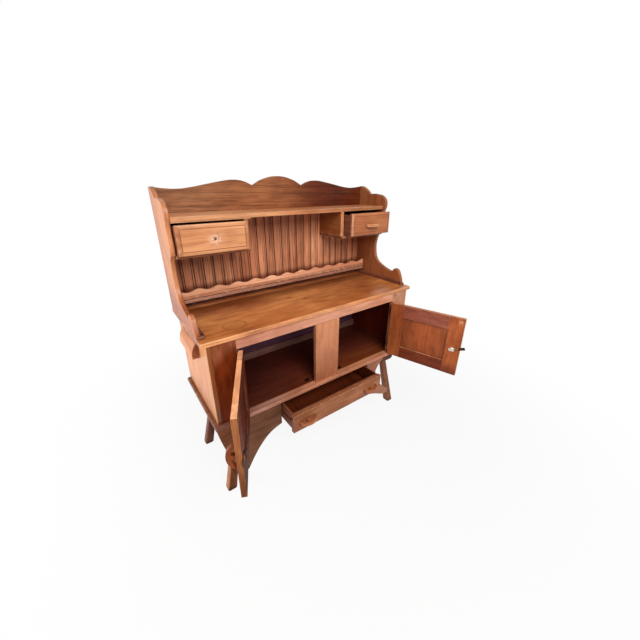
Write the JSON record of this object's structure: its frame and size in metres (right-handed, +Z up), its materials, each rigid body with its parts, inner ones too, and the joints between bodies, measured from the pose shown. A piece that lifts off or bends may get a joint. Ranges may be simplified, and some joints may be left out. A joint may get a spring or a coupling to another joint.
{
  "type": "bakers cabinet",
  "caption": "Timber bakers cabinet: splay-legged base cupboard with framed doors and a hung drawer, under a hutch with shelf, small drawers, beadboard back and lobed crest.",
  "frame": {"origin": "bottom centre of the box around the cabinet as stored, with its doors and drawers open", "axes": "+Z up, +Y from the front to the back, +X to the right as seen from the front"},
  "size_m": [1.335, 0.9074, 1.4806],
  "materials": {
    "honey_wood": "satin",
    "golden_top": "satin",
    "pale_wood": "satin",
    "brown_wood": "satin",
    "russet_wood": "satin",
    "walnut_wood": "satin",
    "shaded_wood": "matte",
    "nickel": "polished",
    "hinge_steel": "satin"
  },
  "bodies": {
    "carcass": {"worktop": "golden_top", "bottom_board": "honey_wood", "left_end_panel": "honey_wood", "right_end_panel": "honey_wood", "left_stile": "honey_wood", "right_stile": "honey_wood", "center_stile": "honey_wood", "top_rail": "honey_wood", "base_back": "shaded_wood", "left_end_grip": "honey_wood", "right_end_grip": "honey_wood", "left_leg_cleat": "walnut_wood", "right_leg_cleat": "walnut_wood", "left_front_leg": "walnut_wood", "left_rear_leg": "walnut_wood", "right_front_leg": "walnut_wood", "right_rear_leg": "walnut_wood", "left_valance": "honey_wood", "right_valance": "honey_wood", "left_drawer_hanger": "shaded_wood", "right_drawer_hanger": "shaded_wood", "left_hutch_side": "honey_wood", "right_hutch_side": "honey_wood", "crest_board": "brown_wood", "hutch_shelf": "honey_wood", "beadboard": "brown_wood", "plate_ledge": "honey_wood", "plate_rail": "honey_wood", "left_pocket_floor": "honey_wood", "right_pocket_floor": "honey_wood", "left_pocket_partition": "honey_wood", "right_pocket_partition": "honey_wood"},
    "left_door": {"left_door_hinge_stile": "honey_wood", "left_door_latch_stile": "honey_wood", "left_door_top_rail": "honey_wood", "left_door_bottom_rail": "honey_wood", "left_door_panel": "russet_wood", "left_lower_hinge": "hinge_steel", "left_upper_hinge": "hinge_steel"},
    "right_door": {"right_door_hinge_stile": "honey_wood", "right_door_latch_stile": "honey_wood", "right_door_top_rail": "honey_wood", "right_door_bottom_rail": "honey_wood", "right_door_panel": "russet_wood", "right_lower_hinge": "hinge_steel", "right_upper_hinge": "hinge_steel"},
    "left_latch": {"left_door_handle": "honey_wood", "left_latch_tongue": "nickel"},
    "right_latch": {"right_door_handle": "honey_wood", "right_latch_tongue": "nickel"},
    "bottom_drawer": {"bottom_drawer_front": "pale_wood", "bottom_drawer_tray": "shaded_wood", "left_drawer_pull": "pale_wood", "right_drawer_pull": "pale_wood"},
    "left_small_drawer": {"left_small_drawer_front": "pale_wood", "left_small_drawer_tray": "shaded_wood", "left_pull_screw": "hinge_steel"},
    "right_small_drawer": {"right_small_drawer_front": "pale_wood", "right_small_drawer_tray": "shaded_wood", "right_small_drawer_pull": "pale_wood"}
  },
  "joints": [
    {"name": "left_door_hinge", "type": "hinge", "parent": "carcass", "child": "left_door", "pos_m": [-0.47184, -0.02577, 0.62], "axis": [0, 0, -1], "range_deg": [-115.4, 34.6]},
    {"name": "right_door_hinge", "type": "hinge", "parent": "carcass", "child": "right_door", "pos_m": [0.51016, -0.02577, 0.62], "axis": [0, 0, 1], "range_deg": [-107.4, 42.6]},
    {"name": "left_latch_turn", "type": "hinge", "parent": "left_door", "child": "left_latch", "pos_m": [-0.63307, -0.36534, 0.605], "axis": [-0.9033, 0.4289, 0], "range_deg": [-21, 69]},
    {"name": "right_latch_turn", "type": "hinge", "parent": "right_door", "child": "right_latch", "pos_m": [0.62257, -0.38447, 0.605], "axis": [-0.9542, -0.299, 0], "range_deg": [-21, 69]},
    {"name": "bottom_drawer_slide", "type": "slide", "parent": "carcass", "child": "bottom_drawer", "axis": [0, -1, 0], "range_m": [-0.113, 0.187]},
    {"name": "left_small_drawer_slide", "type": "slide", "parent": "carcass", "child": "left_small_drawer", "axis": [0, -1, 0], "range_m": [-0.045, 0.105]},
    {"name": "right_small_drawer_slide", "type": "slide", "parent": "carcass", "child": "right_small_drawer", "axis": [0, -1, 0], "range_m": [-0.0625, 0.0875]}
  ]
}
